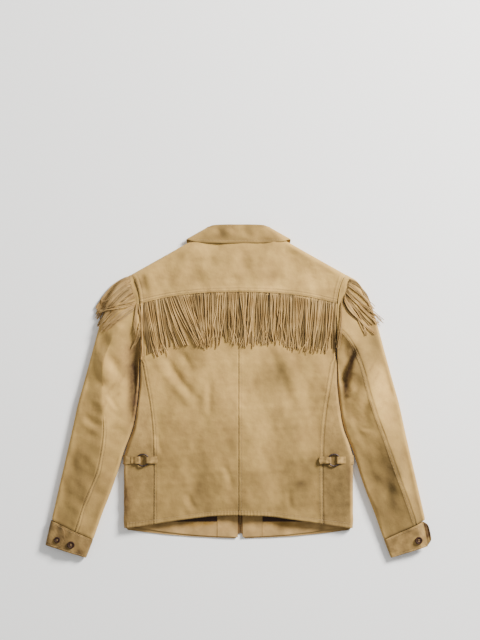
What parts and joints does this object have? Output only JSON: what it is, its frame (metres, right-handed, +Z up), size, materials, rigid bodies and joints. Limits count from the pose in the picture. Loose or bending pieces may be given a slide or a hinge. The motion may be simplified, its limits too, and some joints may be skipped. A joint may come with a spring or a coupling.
{
  "type": "fringed suede jacket, laid flat face down",
  "caption": "Hip-length suede jacket with back yoke, collar, zip front, waist adjusters and buttoned cuffs, fringed along the yoke and over the shoulders, lying flat with its back up",
  "frame": {"origin": "on the surface the jacket lies on, under the middle of its overall box", "axes": "+X to the right seen from above, across the shoulders; +Y from hem to collar; +Z up, away from the surface"},
  "size_m": [0.8704, 0.7507, 0.0405],
  "materials": {
    "suede": "nubuck nap, golden tan",
    "suede_worn": "nubuck nap, rubbed",
    "fringe": "cut suede strands",
    "facing": "smoother suede, stained orange in places",
    "lining": "charcoal twill",
    "tape": "brown cotton tape",
    "brass": "aged brass",
    "iron": "antiqued dark metal",
    "horn": "dark horn"
  },
  "bodies": {
    "jacket": {"back_left": "suede", "back_right": "suede", "front_left": "suede", "front_right": "suede", "sleeve_top_left": "suede", "sleeve_top_right": "suede", "sleeve_under_left": "suede", "sleeve_under_right": "suede", "side_left": "suede_worn", "side_right": "suede_worn", "cuff_left": "suede_worn", "cuff_right": "suede_worn", "waist_loop_left": "suede_worn", "waist_loop_right": "suede_worn", "waist_strap_left": "suede_worn", "waist_strap_right": "suede_worn", "yoke": "suede", "collar": "suede", "facing_left": "facing", "facing_right": "facing", "hem_facing_left": "facing", "hem_facing_right": "facing", "lining_left": "lining", "lining_right": "lining", "zip_tape_left": "tape", "zip_tape_right": "tape", "waist_ring_left": "iron", "waist_ring_right": "iron", "fringe_shoulder_left": "fringe", "fringe_shoulder_right": "fringe", "fringe_back": "fringe", "cuff_button_left_1": "horn", "cuff_button_left_2": "horn", "cuff_button_right_1": "horn", "zip_slider": "brass"},
    "pull": {"zip_pull": "brass"}
  },
  "joints": [
    {"name": "pull_swing", "type": "hinge", "parent": "jacket", "child": "pull", "pos_m": [0, 0.236, 0.0019], "axis": [1, 0, 0], "range_deg": [0, 170]}
  ]
}
